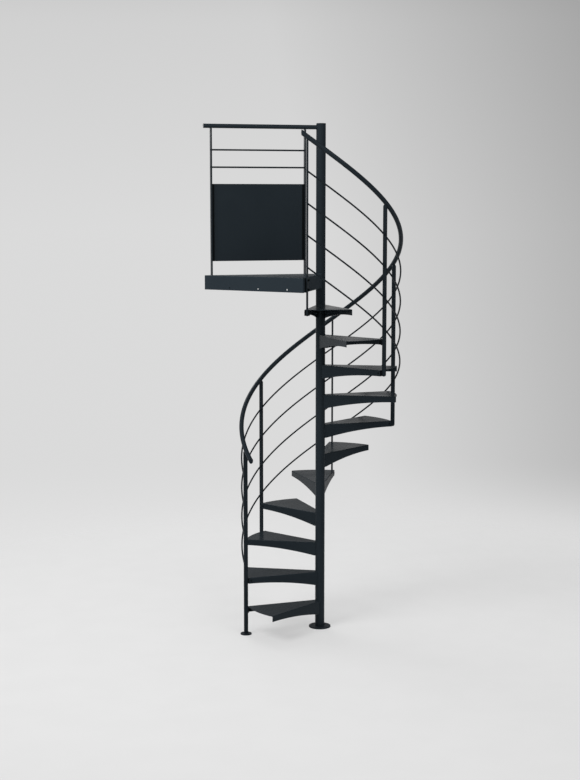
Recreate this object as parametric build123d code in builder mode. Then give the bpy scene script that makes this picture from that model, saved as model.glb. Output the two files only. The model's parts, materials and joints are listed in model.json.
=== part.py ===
from build123d import *
from math import asin, atan, cos, degrees, pi, radians, sin, tan
import os

# Overall sizes
overall_diameter = 1200.0
landing_height = 2656.0
guard_rail_height = 1055.0
column_above_guard_rail = 29.0

# Flight: eleven treads, each turned clockwise from the one below
tread_count = 11
step_angle = 30.0
first_tread_angle = 245.0
first_tread_height = 205.0
riser = (landing_height - first_tread_height) / tread_count

# Column
column_diameter = 70.0
column_wall = 3.0
cap_thickness = 4.0
cap_edge_radius = 1.5
flange_diameter = 163.0
flange_thickness = 10.0
flange_edge_radius = 3.0
seat_gap = 0.3

# Treads: folded sheet, parallel to the sector lines and past them by the overlap
sheet = 4.0
bend_radius = 5.0
tread_overlap = 22.5
cheek_depth_inner = 100.0
cheek_depth_outer = 42.5

# Balustrade on the flight
handrail_diameter = 33.0
handrail_wall = 2.0
rail_above_tread = 1077.0
rail_past_first_post = 10.2
rail_past_last_post = 3.7
end_cap_thickness = 2.0
rod_diameter = 12.0
rod_count = 4
first_rod_drop = 233.0
rod_spacing = 220.0
rod_end = 2.0
post_width = 30.0
post_thickness = 10.0
post_tail = 44.0
treads_per_post = 2
foot_diameter = 83.0
foot_thickness = 8.0
foot_edge_radius = 2.0

# Brackets between treads and posts
bracket_leg = 40.0

# Landing: folded sheet tray, its front flange fixed to the floor edge
landing_front = 612.0
landing_depth = 102.0
landing_riser_angle = -73.2
guard_angle = 226.0
spacer_thickness = 9.0
fixing_hole_diameter = 11.0
fixing_hole_spacing = 236.5
fixing_hole_count = 3
fixing_hole_rise = 18.0
fixing_hole_side = 130.5

# Guard on the landing
guard_rail_diameter = 31.0
guard_rail_end = 869.0
guard_post_inner_place = 121.0
guard_post_outer_place = 815.0
guard_rod_heights = (888.0, 766.0)
panel_bottom = 100.0
panel_top = 648.5
panel_sheet = 3.0

# Places worked out from the sizes above
column_radius = column_diameter / 2
column_top = landing_height + guard_rail_height + column_above_guard_rail
rail_radius = (overall_diameter - handrail_diameter) / 2
post_inner_face = rail_radius - post_width / 2
tread_radius = post_inner_face - sheet
half_step = step_angle / 2
pitch = riser * 360 / step_angle
rail_slope = atan(pitch / (2 * pi * rail_radius))
post_count = (tread_count + 1) // treads_per_post
post_step = step_angle * treads_per_post
first_post_angle = first_tread_angle - half_step
last_post_angle = first_post_angle - (post_count - 1) * post_step
rod_drops = [first_rod_drop + index * rod_spacing for index in range(rod_count)]
rod_reach = degrees((post_thickness / 2 + rod_end) / rail_radius)
along_rail = (0, -cos(rail_slope), sin(rail_slope))


def tread_angle(index):
    return first_tread_angle - index * step_angle


def tread_height(index):
    return first_tread_height + index * riser


def rail_height(angle):
    """Height of the handrail's centre line at an angle in plan."""
    return first_tread_height + rail_above_tread + riser * (first_tread_angle - angle) / step_angle


def upright_plane(angle, height):
    """The upright plane through the axis at an angle, centred on the handrail's circle."""
    outward = Vector(1, 0, 0).rotate(Axis.Z, angle)
    downhill = Vector(0, 1, 0).rotate(Axis.Z, angle)
    return Plane(origin=outward * rail_radius + Vector(0, 0, height), x_dir=outward, z_dir=-downhill)


def helical_bar(lower_angle, upper_angle, drop, diameter, wall=0.0):
    """A round bar or tube that winds round the column, with plumb ends.

    Its section in an upright plane is an ellipse, taller than the bar's diameter by the slope.
    """
    turn = lower_angle - upper_angle
    with BuildPart() as bar:
        with BuildLine():
            Helix(pitch, riser * turn / step_angle, rail_radius, lefthand=True)
        with BuildSketch(upright_plane(0, 0)):
            radius = diameter / 2
            Ellipse(radius, radius / cos(rail_slope))
            if wall:
                Ellipse(radius - wall, (radius - wall) / cos(rail_slope), mode=Mode.SUBTRACT)
        sweep(is_frenet=True)
    return Pos(0, 0, rail_height(lower_angle) - drop) * Rot(0, 0, lower_angle) * bar.part


def write(builder, label):
    builder.part.label = label
    export_step(builder.part, f"parts/{label}.step")


os.makedirs("parts", exist_ok=True)

# Column, its cap and its base flange
with BuildPart() as center_column:
    with BuildSketch(Plane.XY.offset(flange_thickness)):
        Circle(column_radius)
        Circle(column_radius - column_wall, mode=Mode.SUBTRACT)
    extrude(amount=column_top - cap_thickness - flange_thickness)
write(center_column, "center_column")

with BuildPart() as column_cap:
    with BuildSketch(Plane.XY.offset(column_top - cap_thickness)):
        Circle(column_radius)
    extrude(amount=cap_thickness)
    fillet(column_cap.edges().group_by(Axis.Z)[-1], cap_edge_radius)
write(column_cap, "column_cap")

with BuildPart() as base_flange:
    with BuildSketch():
        Circle(flange_diameter / 2)
    extrude(amount=flange_thickness)
    fillet(base_flange.edges().group_by(Axis.Z)[-1], flange_edge_radius)
write(base_flange, "base_flange")

# One tread, pointing along +X with its top at zero: a top plate and two cheeks
corner_angle = half_step + degrees(asin(tread_overlap / tread_radius))
corner_x = tread_radius * cos(radians(corner_angle))
corner_y = tread_radius * sin(radians(corner_angle))
root_y = tread_overlap / cos(radians(half_step))
inside_root_y = (tread_overlap - sheet) / cos(radians(half_step))
inside_end_x = tread_radius + sheet
inside_end_y = inside_root_y + inside_end_x * tan(radians(half_step))
arch_run = corner_x - column_radius
arch_rise = cheek_depth_inner - cheek_depth_outer
arch_radius = (arch_run**2 + arch_rise**2) / (2 * arch_rise)
arch_turn = degrees(asin(arch_run / arch_radius))

with BuildPart() as tread_shape:
    with BuildSketch():
        with BuildLine():
            Polyline((corner_x, -corner_y), (0, -root_y), (0, root_y), (corner_x, corner_y))
            ThreePointArc((corner_x, corner_y), (tread_radius, 0), (corner_x, -corner_y))
        make_face()
    extrude(amount=-cheek_depth_inner)
    top_edges = tread_shape.edges().filter_by(GeomType.LINE).group_by(Axis.Z)[-1]
    fillet(top_edges.sort_by(SortBy.LENGTH)[-2:], bend_radius)
    with BuildSketch(Plane.XY.offset(-sheet)):
        with BuildLine():
            Polyline(
                (inside_end_x, -inside_end_y),
                (0, -inside_root_y),
                (0, inside_root_y),
                (inside_end_x, inside_end_y),
                close=True,
            )
        make_face()
    extrude(amount=-cheek_depth_inner, mode=Mode.SUBTRACT)
    # The lower edge of both cheeks: an arc, level at the outer end
    with BuildSketch(Plane.XZ):
        with BuildLine():
            arch = JernArc((corner_x, -cheek_depth_outer), (-1, 0), arch_radius, arch_turn)
            Polyline(
                arch @ 1,
                (0, -cheek_depth_inner),
                (0, -2 * cheek_depth_inner),
                (inside_end_x, -2 * cheek_depth_inner),
                (inside_end_x, -cheek_depth_outer),
                arch @ 0,
            )
        make_face()
    extrude(amount=2 * corner_y, both=True, mode=Mode.SUBTRACT)
    Cylinder(column_radius + seat_gap, 3 * cheek_depth_inner, mode=Mode.SUBTRACT)

for index in range(tread_count):
    with BuildPart() as tread:
        with Locations((0, 0, tread_height(index))):
            add(tread_shape.part, rotation=(0, 0, tread_angle(index)))
    write(tread, f"tread_{index + 1:02d}")


def balustrade_post(angle, bottom, round_bottom):
    """A flat bar post, drilled for the rods, its round top hollowed for the handrail."""
    rail_axis = rail_height(angle)
    with BuildPart() as post:
        with BuildSketch(Plane.XZ):
            start = bottom + post_width / 2 if round_bottom else bottom
            end = rail_axis - (handrail_diameter + post_width) / 2
            with Locations((rail_radius, start)):
                Rectangle(post_width, end - start, align=(Align.CENTER, Align.MIN))
            round_ends = [start, end] if round_bottom else [end]
            with Locations([(rail_radius, height) for height in round_ends]):
                Circle(post_width / 2)
        extrude(amount=post_thickness / 2, both=True)
        bores = [(0.0, handrail_diameter)]
        bores += [(drop, rod_diameter) for drop in rod_drops]
        for drop, diameter in bores:
            with Locations(Plane(origin=(rail_radius, 0, rail_axis - drop), z_dir=along_rail)):
                Cylinder(diameter / 2 + seat_gap, 4 * post_width, mode=Mode.SUBTRACT)
    return Rot(0, 0, angle) * post.part


for index in range(post_count):
    post_angle = first_post_angle - index * post_step
    on_floor = index == 0
    post_bottom = foot_thickness if on_floor else tread_height(treads_per_post * index) - post_tail
    with BuildPart() as rail_post:
        add(balustrade_post(post_angle, post_bottom, not on_floor))
    write(rail_post, f"rail_post_{index + 1}")

with BuildPart() as post_foot:
    with BuildSketch(Plane(origin=Vector(rail_radius, 0, 0).rotate(Axis.Z, first_post_angle))):
        Circle(foot_diameter / 2)
    extrude(amount=foot_thickness)
    fillet(post_foot.edges().group_by(Axis.Z)[-1], foot_edge_radius)
write(post_foot, "post_foot")

# Angles under the tread corners, one on each tread, that reach out to the post
with BuildPart() as tread_brackets:
    for index in range(tread_count):
        side = -1 if index % treads_per_post == 0 else 1
        cheek_face = side * (tread_overlap - sheet)
        to_post = Vector(1, 0, 0).rotate(Axis.Z, tread_angle(index) + side * half_step)
        level = Plane(origin=(0, 0, tread_height(index) - sheet), x_dir=to_post)
        with BuildSketch(level):
            with BuildLine():
                Polyline(
                    (post_inner_face, side * tread_overlap),
                    (post_inner_face, -side * post_width / 2),
                    (tread_radius, -side * post_width / 2),
                    (tread_radius, cheek_face - side * sheet),
                    (post_inner_face - bracket_leg, cheek_face - side * sheet),
                    (post_inner_face - bracket_leg, cheek_face),
                    (tread_radius, cheek_face),
                    (tread_radius, side * tread_overlap),
                    close=True,
                )
            make_face()
        extrude(amount=-(cheek_depth_outer - sheet))
write(tread_brackets, "tread_brackets")

# Handrail: a helical tube past the first and the last post, with a plate on each plumb end
rail_start_angle = first_post_angle + rail_past_first_post
rail_end_angle = last_post_angle - rail_past_last_post
with BuildPart() as handrail:
    add(helical_bar(rail_start_angle, rail_end_angle, 0.0, handrail_diameter, handrail_wall))
write(handrail, "handrail")

with BuildPart() as handrail_end_caps:
    for angle, uphill in ((rail_start_angle, -1), (rail_end_angle, 1)):
        with BuildSketch(upright_plane(angle, rail_height(angle))):
            Ellipse(handrail_diameter / 2, handrail_diameter / 2 / cos(rail_slope))
        extrude(amount=uphill * end_cap_thickness)
write(handrail_end_caps, "handrail_end_caps")

# Rods between the first and the last post
for index, drop in enumerate(rod_drops):
    with BuildPart() as infill_rod:
        add(helical_bar(first_post_angle + rod_reach, last_post_angle - rod_reach, drop, rod_diameter))
    write(infill_rod, f"infill_rod_{index + 1}")

# Plan of the landing: its side flange stands clear of the last post by the spacer
post_turn = last_post_angle - landing_riser_angle
riser_offset = rail_radius * sin(radians(post_turn)) - post_thickness / 2 - spacer_thickness
back_offset = -(post_width / 2 + bend_radius)


def edge_point(angle, offset, across):
    """The point where a landing edge line meets the line y = across."""
    along = (across - offset * cos(radians(angle))) / sin(radians(angle))
    return (along * cos(radians(angle)) - offset * sin(radians(angle)), across)


def edge_foot(angle, offset):
    """The point of a landing edge line that is nearest to the column's axis."""
    return (-offset * sin(radians(angle)), offset * cos(radians(angle)))


landing_corners = (
    edge_point(guard_angle, back_offset, -landing_front),
    edge_point(landing_riser_angle, riser_offset, -landing_front),
    edge_foot(landing_riser_angle, riser_offset),
    edge_foot(guard_angle, back_offset),
)

with BuildPart() as landing_tray:
    with BuildSketch(Plane.XY.offset(landing_height)):
        with BuildLine():
            Polyline(*landing_corners, close=True)
        make_face()
    extrude(amount=-landing_depth)
    front_corners = landing_tray.edges().filter_by(Axis.Z).group_by(Axis.Y)[0]
    fillet(front_corners, bend_radius)
    flange_edges = landing_tray.edges().group_by(Axis.Z)[-1].sort_by(SortBy.LENGTH)[-3:]
    fillet(flange_edges, bend_radius)
    with BuildSketch(Plane.XY.offset(landing_height - sheet)):
        with BuildLine():
            Polyline(*landing_corners, close=True)
        make_face()
        offset(amount=-sheet, kind=Kind.INTERSECTION, mode=Mode.REPLACE)
    extrude(amount=-landing_depth, mode=Mode.SUBTRACT)
    with Locations((0, 0, landing_height)):
        Cylinder(column_radius + seat_gap, 3 * landing_depth, mode=Mode.SUBTRACT)
    first_hole_x = landing_corners[1][0] - fixing_hole_side
    for index in range(fixing_hole_count):
        hole_x = first_hole_x - index * fixing_hole_spacing
        hole_z = landing_height - landing_depth + fixing_hole_rise
        with Locations(Plane(origin=(hole_x, -landing_front, hole_z), z_dir=(0, -1, 0))):
            Hole(fixing_hole_diameter / 2, depth=2 * sheet)
write(landing_tray, "landing_tray")


def side_flange_y(along_post):
    """The landing's side flange seen in the last post's own directions."""
    turn = radians(post_turn)
    return (riser_offset - along_post * sin(turn)) / cos(turn)


with BuildPart() as landing_post_spacer:
    to_last_post = Vector(1, 0, 0).rotate(Axis.Z, last_post_angle)
    with BuildSketch(Plane(origin=(0, 0, landing_height - bend_radius), x_dir=to_last_post)):
        post_outer_face = post_inner_face + post_width
        with BuildLine():
            Polyline(
                (post_inner_face, -post_thickness / 2),
                (post_outer_face, -post_thickness / 2),
                (post_outer_face, side_flange_y(post_outer_face)),
                (post_inner_face, side_flange_y(post_inner_face)),
                close=True,
            )
        make_face()
    extrude(amount=bend_radius - landing_depth)
write(landing_post_spacer, "landing_post_spacer")

# Guard along the landing's back edge, in the upright plane through the column's axis
guard_direction = Vector(1, 0, 0).rotate(Axis.Z, guard_angle)
guard_posts = {"inner": guard_post_inner_place, "outer": guard_post_outer_place}


def guard_section(along, height):
    """A plane square to the guard, at a distance from the axis and a height on the landing."""
    return Plane(
        origin=guard_direction * along + Vector(0, 0, landing_height + height),
        x_dir=(0, 0, 1),
        z_dir=guard_direction,
    )


for place, along in guard_posts.items():
    with BuildPart() as guard_post:
        with BuildSketch(Plane(origin=guard_section(along, 0).origin, x_dir=guard_direction)):
            Rectangle(post_thickness, post_width)
        extrude(amount=guard_rail_height)
        bores = [(guard_rail_height, guard_rail_diameter)]
        bores += [(height, rod_diameter) for height in guard_rod_heights]
        for height, diameter in bores:
            with Locations(guard_section(along, height)):
                Cylinder(diameter / 2 + seat_gap, 2 * post_thickness, mode=Mode.SUBTRACT)
    write(guard_post, f"guard_post_{place}")

with BuildPart() as guard_rail:
    with BuildSketch(guard_section(0, guard_rail_height)):
        Circle(guard_rail_diameter / 2)
        Circle(guard_rail_diameter / 2 - handrail_wall, mode=Mode.SUBTRACT)
    extrude(amount=guard_rail_end - end_cap_thickness)
    with Locations((0, 0, column_top)):
        Cylinder(column_radius + seat_gap, 2 * column_diameter, mode=Mode.SUBTRACT)
    split(bisect_by=Plane(origin=(0, 0, 0), z_dir=guard_direction))
write(guard_rail, "guard_rail")

with BuildPart() as guard_rail_cap:
    with BuildSketch(guard_section(guard_rail_end - end_cap_thickness, guard_rail_height)):
        Circle(guard_rail_diameter / 2)
    extrude(amount=end_cap_thickness)
write(guard_rail_cap, "guard_rail_cap")

rod_start = guard_post_inner_place - post_thickness / 2 - rod_end
rod_length = guard_post_outer_place + post_thickness / 2 + rod_end - rod_start
for place, height in zip(("upper", "lower"), guard_rod_heights):
    with BuildPart() as guard_rod:
        with BuildSketch(guard_section(rod_start, height)):
            Circle(rod_diameter / 2)
        extrude(amount=rod_length)
    write(guard_rod, f"guard_rod_{place}")

# Sheet panel between the guard posts, its sides folded back along them
panel_left = guard_post_inner_place + post_thickness / 2
panel_right = guard_post_outer_place - post_thickness / 2
with BuildPart() as guard_panel:
    with BuildSketch(Plane(origin=(0, 0, landing_height + panel_bottom), x_dir=guard_direction)):
        with BuildLine():
            Polyline(
                (panel_left, panel_sheet / 2),
                (panel_right, panel_sheet / 2),
                (panel_right, -post_width / 2),
                (panel_right - panel_sheet, -post_width / 2),
                (panel_right - panel_sheet, -panel_sheet / 2),
                (panel_left + panel_sheet, -panel_sheet / 2),
                (panel_left + panel_sheet, -post_width / 2),
                (panel_left, -post_width / 2),
                close=True,
            )
        make_face()
    extrude(amount=panel_top - panel_bottom)
write(guard_panel, "guard_panel")
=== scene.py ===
import json
import math

import bmesh
import bpy
from mathutils import Matrix, Vector


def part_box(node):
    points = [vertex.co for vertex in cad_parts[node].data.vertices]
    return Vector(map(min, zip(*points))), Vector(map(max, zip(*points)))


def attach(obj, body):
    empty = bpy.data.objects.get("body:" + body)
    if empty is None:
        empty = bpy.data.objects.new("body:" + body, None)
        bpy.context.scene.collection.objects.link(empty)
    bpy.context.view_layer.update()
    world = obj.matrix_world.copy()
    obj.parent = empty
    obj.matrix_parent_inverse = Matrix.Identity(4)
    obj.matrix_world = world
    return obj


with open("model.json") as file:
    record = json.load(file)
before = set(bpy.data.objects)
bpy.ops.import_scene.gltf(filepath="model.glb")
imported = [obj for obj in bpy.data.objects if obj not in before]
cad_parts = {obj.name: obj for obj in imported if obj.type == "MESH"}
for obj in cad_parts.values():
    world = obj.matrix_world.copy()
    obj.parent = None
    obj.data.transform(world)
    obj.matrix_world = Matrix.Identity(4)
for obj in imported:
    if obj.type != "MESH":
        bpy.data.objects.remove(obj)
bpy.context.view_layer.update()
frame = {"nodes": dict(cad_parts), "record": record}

nodes = frame["nodes"]

# Camera, placed as in the photograph: degrees and metres, the lens and sensor in millimetres
view_angle = 29.15
camera_distance = 10.807
camera_height = 3.198
camera_tilt = 7.383
camera_turn = 1.188
lens = 68.05
sensor_height = 36.0

# Sizes repeated from the part's source
tread_count = 11
first_tread_angle = 245.0
step_angle = 30.0
tread_overlap = 0.0225
sheet = 0.004
cheek_depth_inner = 0.100
cheek_depth_outer = 0.0425
bend_radius = 0.005
bracket_leg = 0.040
handrail_diameter = 0.033
first_rail_height = 1.282
rail_radius = 0.5835
post_width = 0.030
post_thickness = 0.010
spacer_to_flange = 0.018
landing_riser_angle = -73.2
landing_riser_offset = 0.0186
landing_back_offset = 0.020
guard_angle = 226.0
guard_rail_height = 1.055
guard_rail_diameter = 0.031
guard_post_places = (0.121, 0.815)
panel_sheet = 0.003

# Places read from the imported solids
column_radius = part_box("center_column")[1].x
tread_tops = [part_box(f"tread_{index + 1:02d}")[1].z for index in range(tread_count)]
landing_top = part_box("landing_tray")[1].z
flange_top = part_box("base_flange")[1].z
foot_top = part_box("post_foot")[1].z
panel_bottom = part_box("guard_panel")[0].z
panel_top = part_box("guard_panel")[1].z
riser = tread_tops[1] - tread_tops[0]
rail_slope = math.atan(riser * 360 / step_angle / (2 * math.pi * rail_radius))


def around(angle, distance, height):
    """A point at an angle round the column, counted in degrees from +X."""
    turn = math.radians(angle)
    return Vector((distance * math.cos(turn), distance * math.sin(turn), height))


def make_camera():
    """A camera at its angle, distance and height from the column."""
    data = bpy.data.cameras.new("camera")
    data.sensor_fit = "VERTICAL"
    data.sensor_height = sensor_height
    data.lens = lens
    camera = bpy.data.objects.new("camera", data)
    camera.location = around(view_angle - 90, camera_distance, camera_height)
    turns = (90 - camera_tilt, 0, view_angle + camera_turn)
    camera.rotation_euler = [math.radians(turn) for turn in turns]
    bpy.context.scene.collection.objects.link(camera)
    bpy.context.scene.camera = camera


# Studio: a pale floor that fades into a soft grey backdrop, and large soft lamps.
# The backdrop's pairs are where each of its fades starts and ends, as parts of a direction.
floor_radius = 9.0
floor_albedo = 0.76
floor_fade_start = 2.4
floor_fade_end = 5.2
backdrop_tone = 0.705
backdrop_floor_tone = 0.76
backdrop_right_share = 0.30
backdrop_top_share = 0.62
backdrop_end_share = 0.30
backdrop_slant = 0.21
backdrop_across = (-0.01, 0.36)
backdrop_above = (-0.02, 0.50)
backdrop_beside = (0.20, 0.45)
backdrop_over = (0.11, 0.25)
backdrop_ahead = (0.0, 0.7)
backdrop_ground = (-0.24, -0.17)
floor_sides = 96
floor_below = 0.0005
floor_noise_scale = 3.0
floor_mottle = 0.01
floor_seen_share = 0.49
floor_lift = 0.405
world_light = 0.45
white = (1.0, 1.0, 1.0, 1.0)

# Most of a noise texture's values lie in this range
noise_range = (0.3, 0.7)


class Nodes:
    """Short calls to build one node tree."""

    def __init__(self, tree):
        self.tree = tree
        tree.nodes.clear()

    def new(self, kind, values=None, **settings):
        node = self.tree.nodes.new(kind)
        for name, value in settings.items():
            setattr(node, name, value)
        for name, value in (values or {}).items():
            if isinstance(value, bpy.types.NodeSocket):
                self.tree.links.new(value, node.inputs[name])
            else:
                node.inputs[name].default_value = value
        return node

    def math(self, operation, first, second, third=0.0):
        values = {0: first, 1: second, 2: third}
        return self.new("ShaderNodeMath", values, operation=operation).outputs[0]

    def dot(self, first, second):
        values = {0: first, 1: second}
        return self.new("ShaderNodeVectorMath", values, operation="DOT_PRODUCT").outputs["Value"]

    def ramp(self, value, low, high, first, last, smooth=True):
        """Maps value from low..high to first..last, held at both ends."""
        values = {
            "Value": value,
            "From Min": low,
            "From Max": high,
            "To Min": first,
            "To Max": last,
        }
        kind = "SMOOTHSTEP" if smooth else "LINEAR"
        return self.new("ShaderNodeMapRange", values, interpolation_type=kind).outputs["Result"]

    def mix(self, share, first, second, blend="MIX"):
        """Mixes two colours; the sockets go by place, because several have the same name."""
        values = {0: share, 6: first, 7: second}
        settings = {"data_type": "RGBA", "blend_type": blend}
        return self.new("ShaderNodeMix", values, **settings).outputs[2]

    def noise(self, vector, scale, detail=2.0, roughness=0.5):
        values = {"Vector": vector, "Scale": scale, "Detail": detail, "Roughness": roughness}
        return self.new("ShaderNodeTexNoise", values).outputs["Fac"]


def seen_ray(tree):
    """One for rays that show the backdrop: from the camera, in gloss and through glass."""
    path = tree.new("ShaderNodeLightPath")
    seen = tree.math("MAXIMUM", path.outputs["Is Camera Ray"], path.outputs["Is Glossy Ray"])
    return tree.math("MAXIMUM", seen, path.outputs["Is Transmission Ray"])


def make_world():
    """A backdrop that grows darker to the right and upwards, and plain light for the part."""
    world = bpy.data.worlds.new("studio")
    bpy.context.scene.world = world
    world.use_nodes = True
    tree = Nodes(world.node_tree)
    direction = tree.new("ShaderNodeTexCoord").outputs["Generated"]
    rightward = tree.dot(direction, around(view_angle, 1.0, 0.0))
    forward = tree.dot(direction, around(view_angle + 90, 1.0, 0.0))
    upward = tree.new("ShaderNodeSeparateXYZ", {"Vector": direction}).outputs["Z"]
    slant = tree.math("MULTIPLY_ADD", upward, backdrop_slant, rightward)
    across = tree.ramp(slant, *backdrop_across, 1.0, backdrop_right_share, smooth=False)
    above = tree.ramp(upward, *backdrop_above, 1.0, backdrop_top_share, smooth=False)
    beside = tree.ramp(rightward, *backdrop_beside, 1.0, backdrop_end_share)
    over = tree.ramp(upward, *backdrop_over, 1.0, backdrop_end_share)
    ahead = tree.ramp(forward, *backdrop_ahead, 1.0, backdrop_end_share)
    corner = tree.math("MULTIPLY", beside, tree.math("MAXIMUM", over, ahead))
    wall = tree.math("MULTIPLY", tree.math("MULTIPLY", across, above), backdrop_tone)
    wall = tree.math("MULTIPLY", wall, corner)
    ground = tree.ramp(upward, *backdrop_ground, 1.0, 0.0)
    lifted = tree.math("MULTIPLY", ground, tree.math("SUBTRACT", backdrop_floor_tone, wall))
    tone = tree.math("ADD", wall, lifted)
    shown = tree.new("ShaderNodeBackground", {"Color": white, "Strength": tone})
    light = tree.new("ShaderNodeBackground", {"Color": white, "Strength": world_light})
    values = {0: seen_ray(tree), 1: light.outputs[0], 2: shown.outputs[0]}
    mixed = tree.new("ShaderNodeMixShader", values)
    tree.new("ShaderNodeOutputWorld", {"Surface": mixed.outputs[0]})


def make_floor():
    """A disc whose far part fades out, so that the floor has no horizon."""
    mesh = bpy.data.meshes.new("floor")
    form = bmesh.new()
    bmesh.ops.create_circle(form, cap_ends=True, segments=floor_sides, radius=floor_radius)
    form.to_mesh(mesh)
    form.free()
    floor = bpy.data.objects.new("floor", mesh)
    floor.location.z = -floor_below
    bpy.context.scene.collection.objects.link(floor)
    material = bpy.data.materials.new("floor")
    material.use_nodes = True
    tree = Nodes(material.node_tree)
    place = tree.new("ShaderNodeTexCoord").outputs["Object"]
    distance = tree.new("ShaderNodeVectorMath", {0: place}, operation="LENGTH").outputs["Value"]
    fade = tree.ramp(distance, floor_fade_start, floor_fade_end, 0.0, 1.0)
    grain = tree.noise(place, floor_noise_scale)
    tones = (floor_albedo - floor_mottle, floor_albedo + floor_mottle)
    shade = tree.ramp(grain, *noise_range, *tones)
    colour = tree.new("ShaderNodeCombineColor", {0: shade, 1: shade, 2: shade}).outputs[0]
    lit = tree.new("ShaderNodeBsdfDiffuse", {"Color": colour})
    seen_tone = (floor_seen_share, floor_seen_share, floor_seen_share, 1.0)
    dim_colour = tree.mix(1.0, colour, seen_tone, "MULTIPLY")
    dim = tree.new("ShaderNodeBsdfDiffuse", {"Color": dim_colour})
    lift = tree.new("ShaderNodeEmission", {"Color": white, "Strength": floor_lift})
    soft = tree.new("ShaderNodeAddShader", {0: dim.outputs[0], 1: lift.outputs[0]})
    values = {0: seen_ray(tree), 1: lit.outputs[0], 2: soft.outputs[0]}
    solid = tree.new("ShaderNodeMixShader", values)
    clear = tree.new("ShaderNodeBsdfTransparent")
    mixed = tree.new("ShaderNodeMixShader", {0: fade, 1: solid.outputs[0], 2: clear.outputs[0]})
    tree.new("ShaderNodeOutputMaterial", {"Surface": mixed.outputs[0]})
    mesh.materials.append(material)


def area_lamp(name, angle, distance, height, size, power, aim_height):
    """A square soft lamp that stands round the column from the camera and looks at its axis."""
    data = bpy.data.lights.new(name, "AREA")
    data.shape = "SQUARE"
    data.size = size
    data.energy = power
    lamp = bpy.data.objects.new(name, data)
    lamp.location = around(view_angle - 90 + angle, distance, height)
    aim = Vector((0, 0, aim_height)) - lamp.location
    lamp.rotation_euler = aim.to_track_quat("-Z", "Y").to_euler()
    bpy.context.scene.collection.objects.link(lamp)


def make_lamps():
    """A strong lamp left of the camera, one behind the part and a weaker one on the right."""
    area_lamp("key", angle=-50, distance=5.0, height=6.4, size=3.2, power=265, aim_height=3.2)
    area_lamp("back", angle=-150, distance=5.5, height=5.5, size=3.0, power=150, aim_height=2.2)
    area_lamp("front", angle=38, distance=5.5, height=6.2, size=3.0, power=100, aim_height=3.0)


# Paint: satin powder coat, dark grey with a little blue; the fittings are black, which on the
# brackets and the spacer is also painted shade
grey_paint = {
    "base": (0.0172, 0.0229, 0.0282, 1.0),
    "light": (0.0245, 0.0318, 0.0380, 1.0),
    "dark": (0.0136, 0.0186, 0.0230, 1.0),
    "dust": (0.040, 0.054, 0.063, 1.0),
}
black_and_shade_paint = {
    "base": (0.0045, 0.0052, 0.0060, 1.0),
    "light": (0.0110, 0.0125, 0.0140, 1.0),
    "dark": (0.0030, 0.0036, 0.0042, 1.0),
    "dust": (0.020, 0.022, 0.024, 1.0),
}
sheen_tint = (0.74, 0.94, 1.0, 1.0)

# The coat's texture: sizes in metres, bumps as (strength, depth), ranges as (start, end)
# Edges within this radius get a lighter colour: partly rubbed paint, partly a painted edge
# highlight
wear_and_highlight_radius = 0.0010
grain_size = 0.0009
grain_bump = (0.2, 0.00005)
wave_size = 0.012
wave_bump = (0.15, 0.0003)
cloud_size = 0.35
cloud_range = (0.3, 0.75)
cloud_share = 0.45
grain_peaks = (0.55, 0.8)
grain_share = 0.25
patch_range = (0.35, 0.7)
least_edge_wear_and_highlight = 0.2
least_dust = 0.4
edge_bend = (0.90, 0.995)
level_face = (0.8, 1.0)
cloud_roughness = (-0.05, 0.06)
grain_roughness = (-0.04, 0.04)


def toned(paint, share):
    """The same paint, lighter or darker by a share."""
    tones = {}
    for name, colour in paint.items():
        red, green, blue, alpha = colour
        tones[name] = (share * red, share * green, share * blue, alpha)
    return tones


def powder_coat(name, paint=grey_paint, roughness=0.30, gloss=0.06, dust=0.08, edge_wear_and_highlight_share=0.35):
    """Powder coat: fine grain, slight waves, cloudy sheen, some dust on top, and lighter edges:
    rubbed paint and painted highlight.
    """
    material = bpy.data.materials.new(name)
    material.use_nodes = True
    tree = Nodes(material.node_tree)
    place = tree.new("ShaderNodeTexCoord").outputs["Object"]
    clouds = tree.noise(place, 1 / cloud_size, detail=3.0, roughness=0.6)
    waves = tree.noise(place, 1 / wave_size)
    grain = tree.noise(place, 1 / grain_size, roughness=0.7)

    soft = tree.new("ShaderNodeBevel", {"Radius": wear_and_highlight_radius}, samples=8).outputs["Normal"]
    flat = tree.new("ShaderNodeNewGeometry").outputs["Normal"]
    rim = tree.ramp(tree.dot(soft, flat), *edge_bend, 1.0, 0.0)
    # Lighter edges: partly rubbed paint, partly a painted edge highlight
    edge_wear_and_highlight = tree.math("MULTIPLY", rim, tree.ramp(waves, *patch_range, least_edge_wear_and_highlight, edge_wear_and_highlight_share))
    up = tree.new("ShaderNodeSeparateXYZ", {"Vector": flat}).outputs["Z"]
    dusty = tree.ramp(up, *level_face, 0.0, dust)
    dusty = tree.math("MULTIPLY", dusty, tree.ramp(clouds, *patch_range, least_dust, 1.0))

    cloudy = tree.ramp(clouds, *cloud_range, 0.0, cloud_share)
    colour = tree.mix(cloudy, paint["base"], paint["dark"])
    grainy = tree.ramp(grain, *grain_peaks, 0.0, grain_share)
    colour = tree.mix(grainy, colour, paint["light"])
    colour = tree.mix(edge_wear_and_highlight, colour, paint["light"])
    colour = tree.mix(dusty, colour, paint["dust"])
    ends = [roughness + change for change in cloud_roughness]
    sheen = tree.ramp(clouds, *noise_range, *ends)
    rough = tree.math("ADD", sheen, tree.ramp(grain, *noise_range, *grain_roughness))
    bump = flat
    for height, (strength, depth) in ((grain, grain_bump), (waves, wave_bump)):
        values = {"Strength": strength, "Distance": depth, "Height": height, "Normal": bump}
        bump = tree.new("ShaderNodeBump", values).outputs[0]
    values = {
        "Base Color": colour,
        "Roughness": rough,
        "Normal": bump,
        "Specular IOR Level": gloss,
        "Specular Tint": sheen_tint,
    }
    shader = tree.new("ShaderNodeBsdfPrincipled", values)
    tree.new("ShaderNodeOutputMaterial", {"Surface": shader.outputs[0]})
    return material


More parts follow.
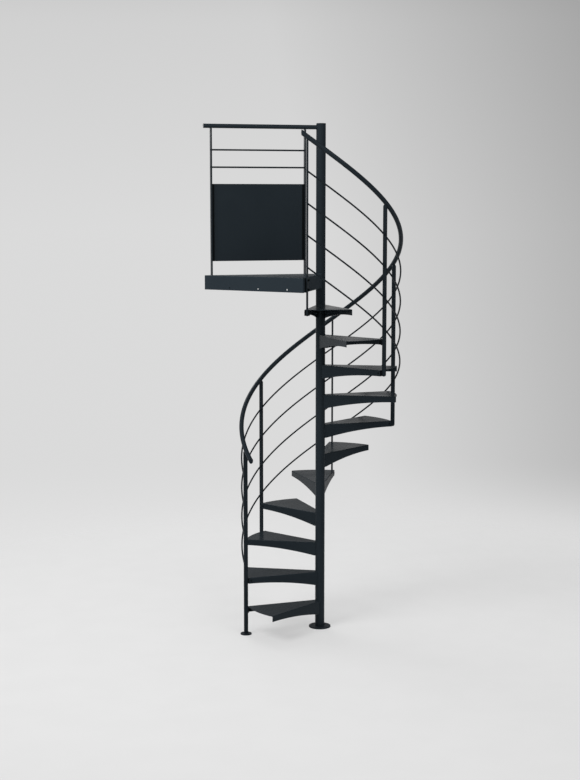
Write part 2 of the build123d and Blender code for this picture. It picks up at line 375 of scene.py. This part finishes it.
def dress_nodes():
    """Gives each material slot of the record its own paint, and each solid its slot's."""
    coats = {
        "column_paint": {"dust": 0.05},
        "tread_paint": {"roughness": 0.25, "gloss": 0.049, "dust": 0.12, "edge_wear_and_highlight_share": 0.45},
        # The landing gets the same grey made 1.5 times lighter: painted light
        "landing_paint": {
            "paint": toned(grey_paint, 1.5),
            "roughness": 0.40,
            "gloss": 0.020,
            "dust": 0.03,
        },
        "rail_paint": {"dust": 0.03, "edge_wear_and_highlight_share": 0.5},
        # The rods and posts get the same grey made darker: painted shade
        "rod_paint": {"paint": toned(grey_paint, 0.7), "dust": 0.03},
        "post_paint": {"paint": toned(grey_paint, 0.8), "dust": 0.05},
        # Black fittings: on the bolts their own colour, on the brackets and the spacer also painted
        # shade
        "fitting_paint": {"paint": black_and_shade_paint, "roughness": 0.50, "edge_wear_and_highlight_share": 0.5},
        "panel_paint": {"roughness": 0.46, "dust": 0.03},
    }
    paints = {name: powder_coat(name, **coat) for name, coat in coats.items()}
    for part in frame["record"]["subparts"]:
        mesh = nodes[part["node"]].data
        mesh.materials.clear()
        mesh.materials.append(paints[part["material_slot"]])
    return paints


def add_piece(name, slot, form, bevel=0.0):
    """Turns a form into a piece that rides on the staircase in one of its paints."""
    mesh = bpy.data.meshes.new(name)
    form.to_mesh(mesh)
    form.free()
    piece = bpy.data.objects.new(name, mesh)
    bpy.context.scene.collection.objects.link(piece)
    mesh.materials.append(paints[slot])
    if bevel:
        modifier = piece.modifiers.new("edges", "BEVEL")
        modifier.width = bevel
        modifier.segments = 2
    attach(piece, "root")


def facing(point, direction):
    """A place whose Z axis points in a direction."""
    return Matrix.Translation(point) @ direction.to_track_quat("Z", "Y").to_matrix().to_4x4()


def turned(form, place, profile, sides=20):
    """Adds a turned solid, or a six-sided one, from its (radius, height) pairs, base to top."""
    rings = []
    for radius, height in profile:
        ring = []
        for index in range(sides):
            turn = 2 * math.pi * index / sides
            point = Vector((radius * math.cos(turn), radius * math.sin(turn), height))
            ring.append(form.verts.new(place @ point))
        rings.append(ring)
    for lower, upper in zip(rings, rings[1:]):
        for index in range(sides):
            after = (index + 1) % sides
            form.faces.new((lower[index], lower[after], upper[after], upper[index]))
    form.faces.new(list(reversed(rings[0])))
    form.faces.new(rings[-1])


# Fasteners: heads and nuts, as (radius, height) pairs
washer = ((0.0082, 0.0), (0.0085, 0.0003), (0.0085, 0.0013), (0.0082, 0.0016))
button_head = (
    (0.0066, 0.0),
    (0.0066, 0.0008),
    (0.0060, 0.0024),
    (0.0046, 0.0035),
    (0.0028, 0.0040),
    (0.0025, 0.0040),
    (0.0025, 0.0018),
)
nut = ((0.0068, 0.0016), (0.0075, 0.0021), (0.0075, 0.0076), (0.0068, 0.0081))
thread_end = ((0.0040, 0.0016), (0.0040, 0.0100), (0.0034, 0.0108))
cap_nut = ((0.0070, 0.0016), (0.0078, 0.0021), (0.0078, 0.0062), (0.0070, 0.0068))
cap_dome = (
    (0.0068, 0.0060),
    (0.0068, 0.0084),
    (0.0058, 0.0108),
    (0.0040, 0.0124),
    (0.0018, 0.0131),
)

# How far the landing's two bolts are below its top
landing_bolt_drops = (0.0176, 0.0814)


def radial_frame(angle):
    """The outward and the anticlockwise direction at an angle in plan."""
    return around(angle, 1.0, 0.0), around(angle + 90, 1.0, 0.0)


def bracket_side(index):
    """Which cheek of a tread its bracket is under: the clockwise or the anticlockwise one."""
    return -1 if index % 2 == 0 else 1


def bracket_angle(index):
    """The angle in plan of a tread's bracket."""
    return first_tread_angle - step_angle * (index - bracket_side(index) / 2)


def make_tread_bolts():
    """One bolt through each bracket's leg and the tread's cheek, with its nut inside."""
    form = bmesh.new()
    for index, top in enumerate(tread_tops):
        side = bracket_side(index)
        outward, across = radial_frame(bracket_angle(index))
        across = side * across
        along = rail_radius - post_width / 2 - bracket_leg / 2
        middle = outward * along + Vector((0, 0, top - cheek_depth_outer / 2))
        turned(form, facing(middle + across * tread_overlap, across), button_head)
        inside = facing(middle + across * (tread_overlap - 2 * sheet), -across)
        turned(form, inside, washer)
        turned(form, inside, nut, sides=6)
        turned(form, inside, thread_end, sides=12)
    add_piece("tread_bolts", "fitting_paint", form)


def make_landing_bolts():
    """Two bolts through the last post and the spacer into the landing's side flange."""
    form = bmesh.new()
    outward, across = radial_frame(bracket_angle(tread_count - 1))
    for drop in landing_bolt_drops:
        middle = outward * rail_radius + Vector((0, 0, landing_top - drop))
        outside = facing(middle + across * post_thickness / 2, across)
        turned(form, outside, washer)
        turned(form, outside, cap_nut, sides=6)
        turned(form, outside, cap_dome)
        inside = facing(middle - across * spacer_to_flange, -across)
        turned(form, inside, washer)
        turned(form, inside, nut, sides=6)
    add_piece("landing_bolts", "fitting_paint", form)


# Welds: the beads' radii, their ripples, where they lie and end, and how close their points are
sheet_weld = 0.0024
rail_weld = 0.0022
post_weld = 0.0016
base_weld = 0.0026
weld_ripple = 0.10
weld_ripple_length = 0.0035
weld_spacing = 0.0012
weld_sides = 8
weld_lift = 0.0005
rail_weld_lift = 0.0004
tread_weld_trim = 6
landing_weld_trim = 4
bracket_weld_trim = 0.002
rail_weld_points = 90
post_weld_steps = 6
base_weld_end = 358


def bead(form, points, radius, closed=False):
    """Adds a weld: a rippled round bead along a line of close points."""
    rings = []
    count = len(points)
    travelled = 0.0
    for index, point in enumerate(points):
        before = points[index - 1] if closed or index else point
        after = points[(index + 1) % count] if closed or index < count - 1 else point
        along = (after - before).normalized()
        travelled += (point - points[max(index - 1, 0)]).length
        size = radius * (1 + weld_ripple * math.sin(2 * math.pi * travelled / weld_ripple_length))
        place = facing(point, along)
        ring = []
        for step in range(weld_sides):
            turn = 2 * math.pi * step / weld_sides
            spot = Vector((size * math.cos(turn), size * math.sin(turn), 0))
            ring.append(form.verts.new(place @ spot))
        rings.append(ring)
    pairs = list(zip(rings, rings[1:]))
    if closed:
        pairs.append((rings[-1], rings[0]))
    for first, second in pairs:
        for step in range(weld_sides):
            after = (step + 1) % weld_sides
            form.faces.new((first[step], first[after], second[after], second[step]))
    if not closed:
        form.faces.new(list(reversed(rings[0])))
        form.faces.new(rings[-1])


def line_points(start, end):
    """Close points along a straight line."""
    count = max(2, round((end - start).length / weld_spacing))
    return [start.lerp(end, index / count) for index in range(count + 1)]


def arc_points(first_angle, last_angle, radius, height):
    """Close points along a level arc round the column."""
    span = last_angle - first_angle
    count = round(radius * math.radians(abs(span)) / weld_spacing)
    turns = [first_angle + span * index / count for index in range(count + 1)]
    return [around(turn, radius, height) for turn in turns]


def make_tread_welds():
    """Welds of the treads to the column: round the top plate and down both cheeks."""
    form = bmesh.new()
    reach = step_angle / 2 + math.degrees(math.asin(tread_overlap / column_radius))
    radius = column_radius + weld_lift
    drop = Vector((0, 0, bend_radius - cheek_depth_inner))
    for index, top in enumerate(tread_tops):
        middle = first_tread_angle - index * step_angle
        first = middle - reach + tread_weld_trim
        last = middle + reach - tread_weld_trim
        bead(form, arc_points(first, last, radius, top), sheet_weld)
        for side in (-1, 1):
            start = around(middle + side * reach, radius, top - bend_radius)
            bead(form, line_points(start, start + drop), sheet_weld)
    add_piece("tread_welds", "tread_paint", form)


def make_landing_welds():
    """The weld of the landing's sheet round the column."""
    form = bmesh.new()
    back = math.degrees(math.asin(landing_back_offset / column_radius))
    front = math.degrees(math.asin(landing_riser_offset / column_radius))
    first = guard_angle - back + landing_weld_trim
    last = 360 + landing_riser_angle + front - landing_weld_trim
    bead(form, arc_points(first, last, column_radius + weld_lift, landing_top), sheet_weld)
    add_piece("landing_welds", "landing_paint", form)


def make_guard_rail_weld():
    """The weld where the guard rail meets the column's round side."""
    form = bmesh.new()
    outward, across = radial_frame(guard_angle)
    radius = guard_rail_diameter / 2 + rail_weld_lift
    points = []
    for index in range(rail_weld_points):
        turn = 2 * math.pi * index / rail_weld_points
        sideways = radius * math.cos(turn)
        reach = math.sqrt(column_radius**2 - sideways**2)
        height = landing_top + guard_rail_height + radius * math.sin(turn)
        points.append(outward * reach + across * sideways + Vector((0, 0, height)))
    bead(form, points, rail_weld, closed=True)
    add_piece("guard_rail_weld", "rail_paint", form)


def box_loop(middle, first, second, height):
    """Close points round a rectangle in plan, given its two half sides as vectors."""
    lift = Vector((0, 0, height))
    corners = [
        middle + first + second,
        middle - first + second,
        middle - first - second,
        middle + first - second,
    ]
    points = []
    for start, end in zip(corners, corners[1:] + corners[:1]):
        points += line_points(start + lift, end + lift)[:-1]
    return points


def add_handrail_beads(form):
    """Beads under the handrail, on both faces of each post; two treads share a post."""
    for index in range(0, tread_count, 2):
        angle = bracket_angle(index)
        outward, across = radial_frame(angle)
        rail = first_rail_height + riser / step_angle * (first_tread_angle - angle)
        for side in (-1, 1):
            points = []
            shift = side * post_thickness / 2
            for step in range(-post_weld_steps, post_weld_steps + 1):
                out = weld_spacing * step
                under = math.sqrt((handrail_diameter / 2) ** 2 - out**2) / math.cos(rail_slope)
                height = rail - shift * math.tan(rail_slope) - under
                point = outward * (rail_radius + out) + across * shift
                points.append(point + Vector((0, 0, height)))
            bead(form, points, post_weld)


def add_bracket_beads(form):
    """Upright beads where each tread's bracket meets its post."""
    for index, top in enumerate(tread_tops):
        outward, across = radial_frame(bracket_angle(index))
        for side in (-1, 1):
            corner = outward * (rail_radius - post_width / 2) + across * side * post_thickness / 2
            upper = corner + Vector((0, 0, top - 2 * sheet))
            lower = corner + Vector((0, 0, top - cheek_depth_outer + bracket_weld_trim))
            bead(form, line_points(upper, lower), post_weld)


def add_foot_beads(form):
    """Beads round the feet of the first post and of the two guard posts."""
    outward, across = radial_frame(bracket_angle(0))
    half_width, half_thickness = post_width / 2, post_thickness / 2
    loop = box_loop(outward * rail_radius, outward * half_width, across * half_thickness, foot_top)
    bead(form, loop, post_weld, closed=True)
    outward, across = radial_frame(guard_angle)
    for place in guard_post_places:
        loop = box_loop(outward * place, outward * half_thickness, across * half_width, landing_top)
        bead(form, loop, post_weld, closed=True)


def make_post_welds():
    """All welds at the posts: under the handrail, at the brackets and round the feet."""
    form = bmesh.new()
    add_handrail_beads(form)
    add_bracket_beads(form)
    add_foot_beads(form)
    add_piece("post_welds", "post_paint", form)


def make_base_weld():
    """The weld round the column's foot; its last point is one step before its first."""
    form = bmesh.new()
    points = arc_points(0, base_weld_end, column_radius, flange_top)
    bead(form, points, base_weld, closed=True)
    add_piece("base_weld", "column_paint", form)


# Black strips along the panel's two sides, against the guard posts: painted shade beside each post
strip_width = 0.016
strip_thickness = 0.002
strip_lip = 0.009
strip_gap = 0.0001
strip_edge = 0.0005
strip_outline = (
    (0.0, 0.0),
    (strip_width, 0.0),
    (strip_width, strip_thickness),
    (strip_thickness, strip_thickness),
    (strip_thickness, strip_lip),
    (0.0, strip_lip),
)


def make_panel_shade_strips():
    """A black angle strip at each side of the panel, its lip against the guard post, as painted
    shade.
    """
    form = bmesh.new()
    outward, across = radial_frame(guard_angle)
    face = panel_sheet / 2 + strip_gap
    for post_place, way in zip(guard_post_places, (1, -1)):
        start = post_place + way * post_thickness / 2
        rings = []
        for height in (panel_bottom, panel_top):
            ring = []
            for along, out in strip_outline:
                point = outward * (start + way * (along + strip_gap)) + across * (face + out)
                ring.append(form.verts.new(point + Vector((0, 0, height))))
            rings.append(ring)
        lower, upper = rings
        count = len(strip_outline)
        for index in range(count):
            after = (index + 1) % count
            form.faces.new((lower[index], lower[after], upper[after], upper[index]))
        form.faces.new(lower)
        form.faces.new(upper)
    bmesh.ops.recalc_face_normals(form, faces=form.faces)
    add_piece("panel_shade_strips", "fitting_paint", form, bevel=strip_edge)


bpy.context.scene.view_settings.view_transform = "Standard"
make_camera()
make_world()
make_floor()
make_lamps()
paints = dress_nodes()
make_tread_bolts()
make_landing_bolts()
make_tread_welds()
make_landing_welds()
make_guard_rail_weld()
make_post_welds()
make_base_weld()
make_panel_shade_strips()
